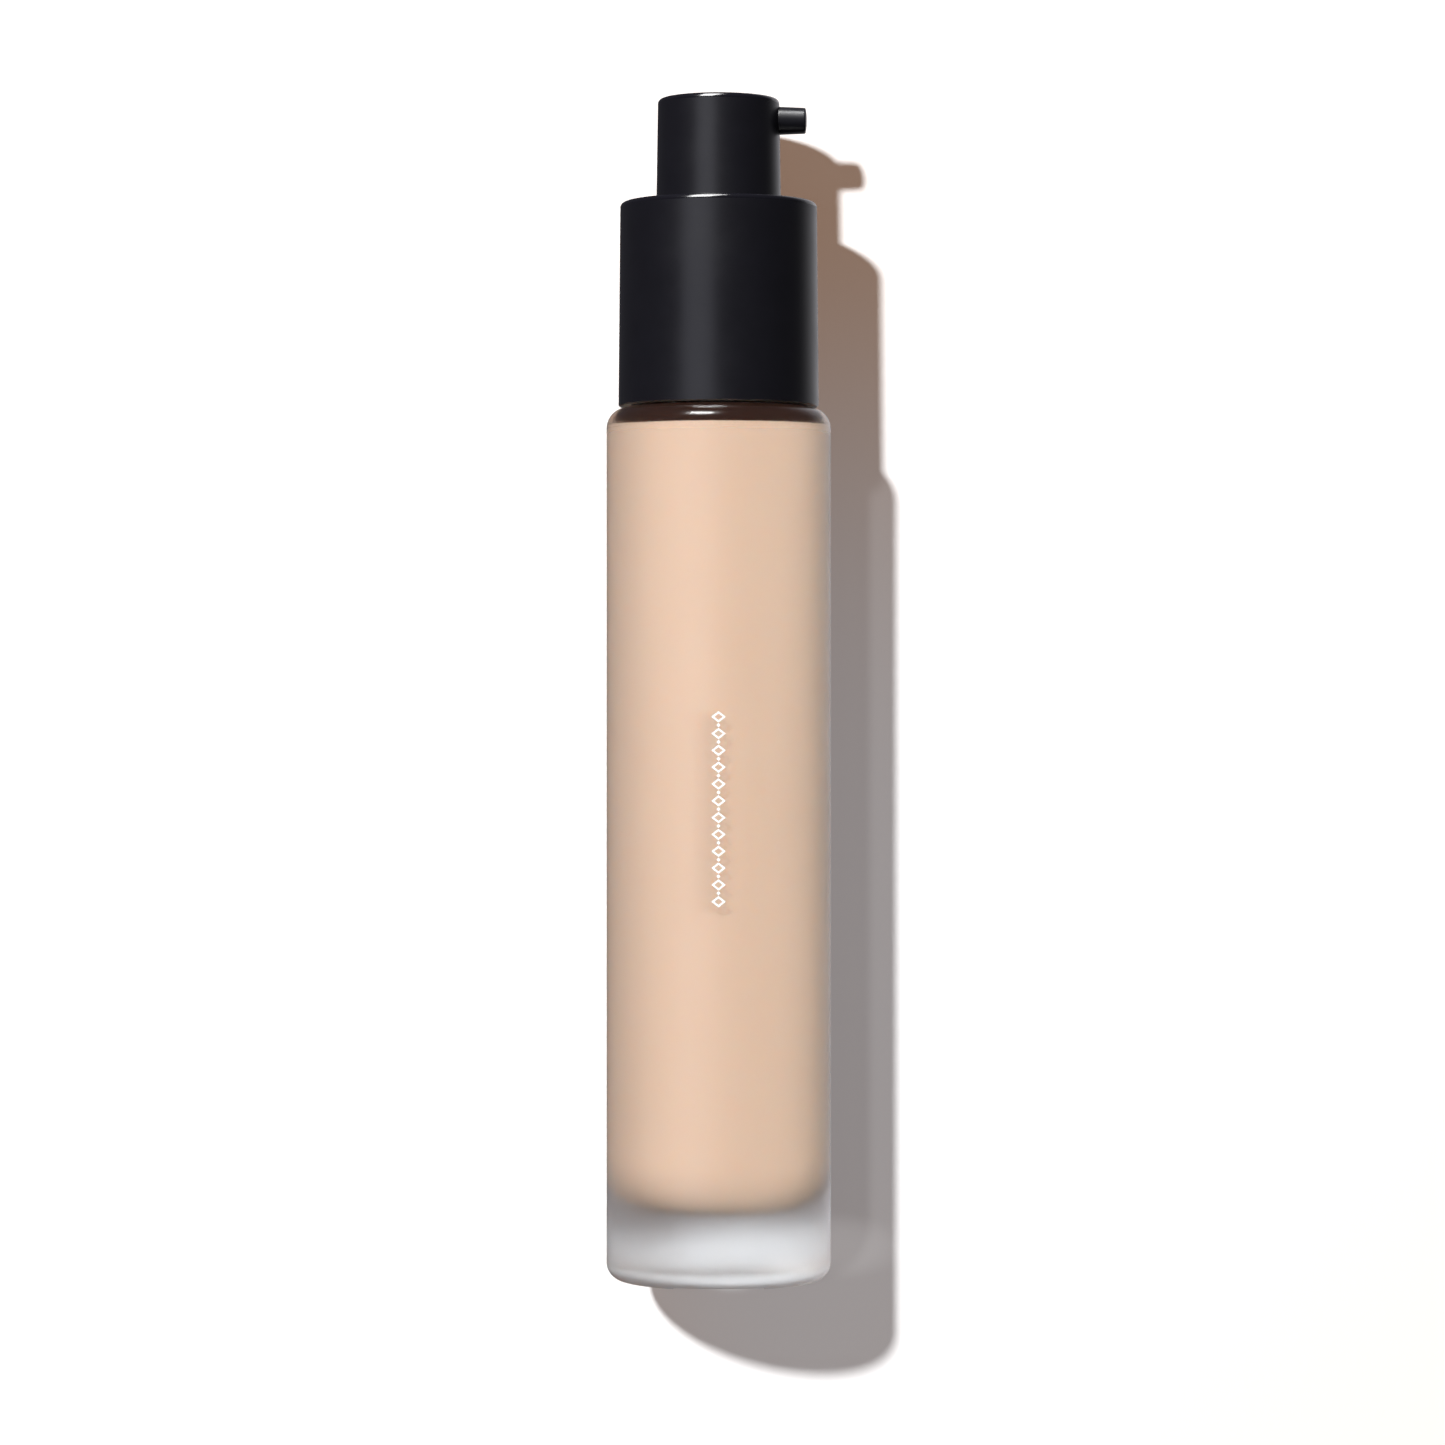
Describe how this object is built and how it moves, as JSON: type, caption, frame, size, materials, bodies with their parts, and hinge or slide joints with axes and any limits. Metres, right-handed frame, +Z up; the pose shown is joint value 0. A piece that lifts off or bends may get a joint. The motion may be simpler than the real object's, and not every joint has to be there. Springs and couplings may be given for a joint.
{
  "type": "foundation bottle",
  "caption": "Slim cylindrical frosted glass bottle of liquid foundation with a thick base, a long black collar and a black press pump with a small side nozzle.",
  "frame": {"origin": "centre of the underside of the base, on the surface the bottle stands on", "axes": "+Z up along the bottle's axis, +X the way the nozzle points at rest, -Y the printed front"},
  "size_m": [0.027, 0.027, 0.1422],
  "materials": {
    "frosted_glass": "acid-frosted outside, smooth inside, clear in the thick base",
    "foundation": "opaque peach emulsion",
    "black_satin_plastic": "satin black moulded plastic",
    "closure_plastic": "plain black moulded polypropylene",
    "natural_plastic": "natural polypropylene, slightly translucent",
    "tube_plastic": "translucent polyethylene",
    "gasket_foam": "white closed-cell foam",
    "white_print": "white screen-printed ornament on the front of the glass",
    "steel": "bright drawn stainless steel"
  },
  "bodies": {
    "bottle": {"glass_bottle": "frosted_glass", "foundation_liquid": "foundation"},
    "pump": {"pump_housing": "natural_plastic", "housing_lock": "natural_plastic", "neck_gasket": "gasket_foam", "dip_tube": "tube_plastic", "ball_cage": "natural_plastic", "main_spring": "steel"},
    "closure": {"screw_closure": "closure_plastic", "collar_sleeve": "black_satin_plastic"},
    "stem": {"stem": "natural_plastic", "stem_foot": "natural_plastic"},
    "piston": {"piston": "natural_plastic"},
    "inlet_ball": {"inlet_ball": "steel"},
    "button": {"actuator_shell": "black_satin_plastic", "actuator_core": "closure_plastic", "nozzle": "black_satin_plastic"}
  },
  "joints": [
    {"name": "pump_lift", "type": "slide", "parent": "bottle", "child": "pump", "axis": [0, 0, 1], "range_m": [0, 0.00476]},
    {"name": "closure_turn", "type": "hinge", "parent": "pump", "child": "closure", "pos_m": [0, 0, 0.115], "axis": [0, 0, 1], "range_deg": [0, 540]},
    {"name": "actuator_press", "type": "slide", "parent": "pump", "child": "stem", "axis": [0, 0, -1], "range_m": [0, 0.004], "stiffness_N_per_m": 1000, "springref_m": -0.005, "deforming": ["main_spring"]},
    {"name": "nozzle_swivel", "type": "hinge", "parent": "stem", "child": "button", "pos_m": [0, 0, 0.1342], "axis": [0, 0, 1], "continuous": true},
    {"name": "piston_travel", "type": "slide", "parent": "pump", "child": "piston", "axis": [0, 0, -1], "range_m": [0, 0.0034]},
    {"name": "inlet_ball_lift", "type": "slide", "parent": "pump", "child": "inlet_ball", "axis": [0, 0, 1], "range_m": [0, 0.0008]}
  ],
  "couplings": [
    {"joint": "closure_turn", "follows": "pump_lift", "rad_per_m": 1979},
    {"joint": "piston_travel", "follows": "actuator_press", "ratio": 0.85}
  ]
}
